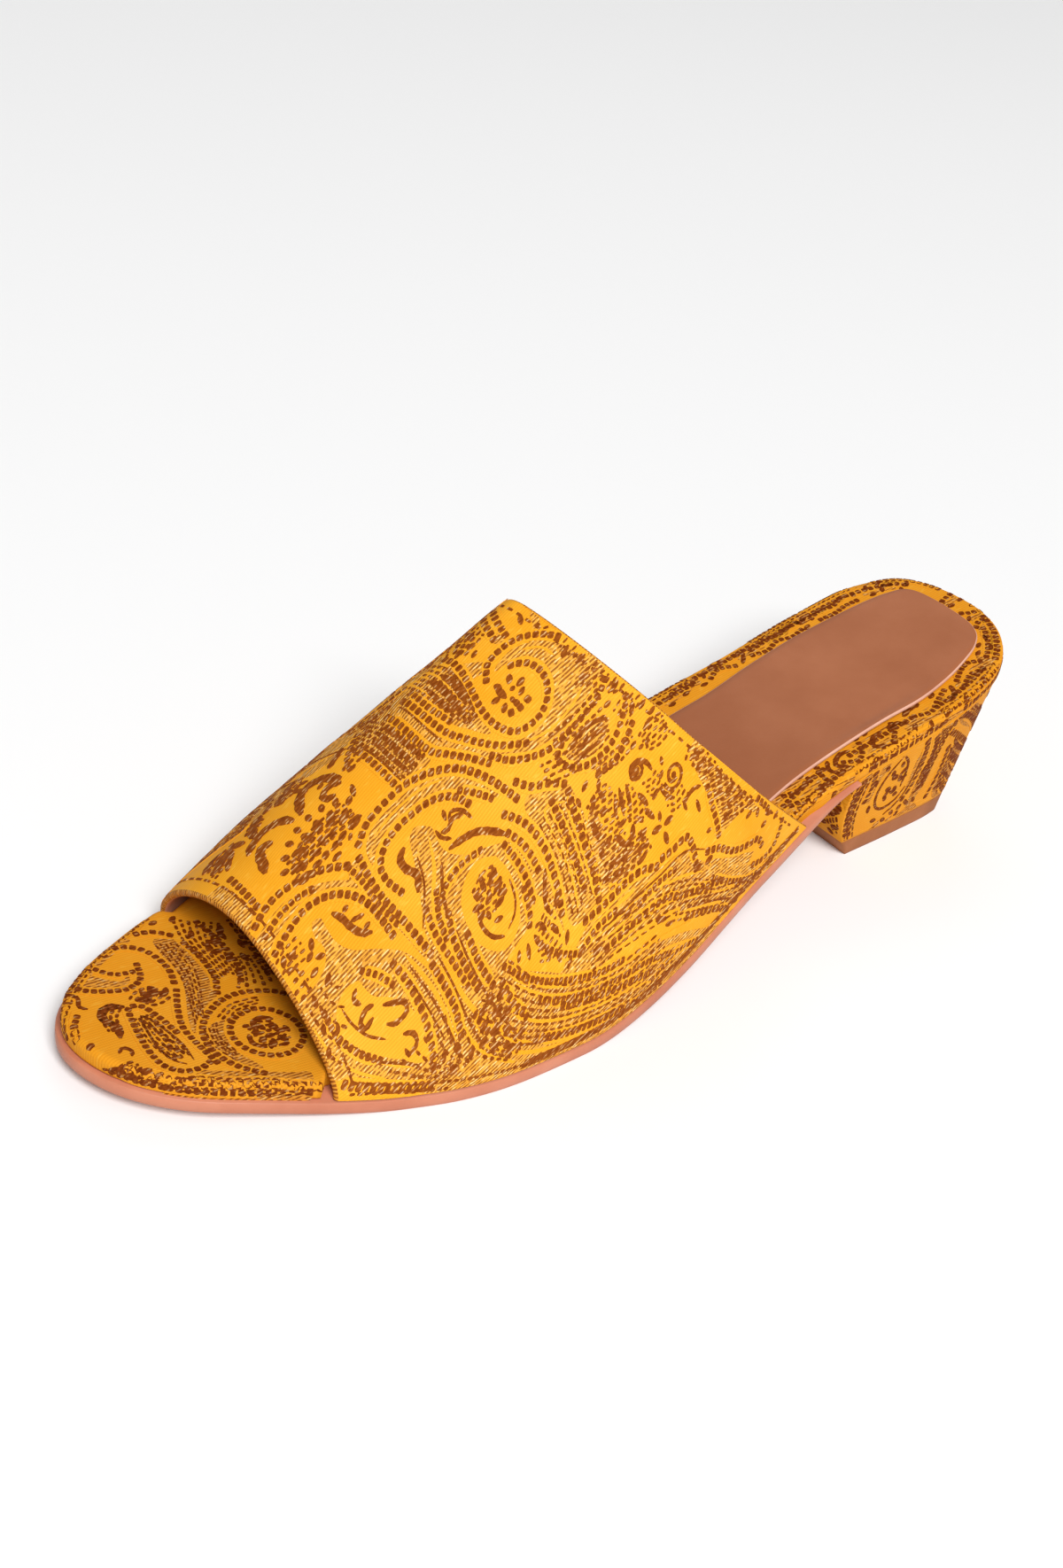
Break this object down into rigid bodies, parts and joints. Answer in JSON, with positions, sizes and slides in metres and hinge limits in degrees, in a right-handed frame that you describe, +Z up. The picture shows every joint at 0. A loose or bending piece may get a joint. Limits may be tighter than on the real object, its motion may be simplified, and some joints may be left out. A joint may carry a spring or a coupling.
{
  "type": "block heel shoe",
  "caption": "Low block-heeled slide sandal, left foot: one brocade band over the ball and instep, open toe and back, wrapped footbed, leather heel sock.",
  "frame": {"origin": "middle of the bounding box in plan, on the floor", "axes": "+X from the toe to the heel, +Y to the inner side of the foot, +Z up"},
  "size_m": [0.249, 0.0838, 0.0684],
  "materials": {
    "brocade": "satin",
    "footbed_brocade": "satin",
    "heel_brocade": "satin",
    "sock_leather": "satin",
    "sole_leather": "satin",
    "tip_leather": "matte"
  },
  "bodies": {
    "root": {"upper": "brocade", "footbed": "footbed_brocade", "heel_block": "heel_brocade", "heel_sock": "sock_leather", "outsole": "sole_leather", "heel_tip": "tip_leather"}
  },
  "joints": []
}
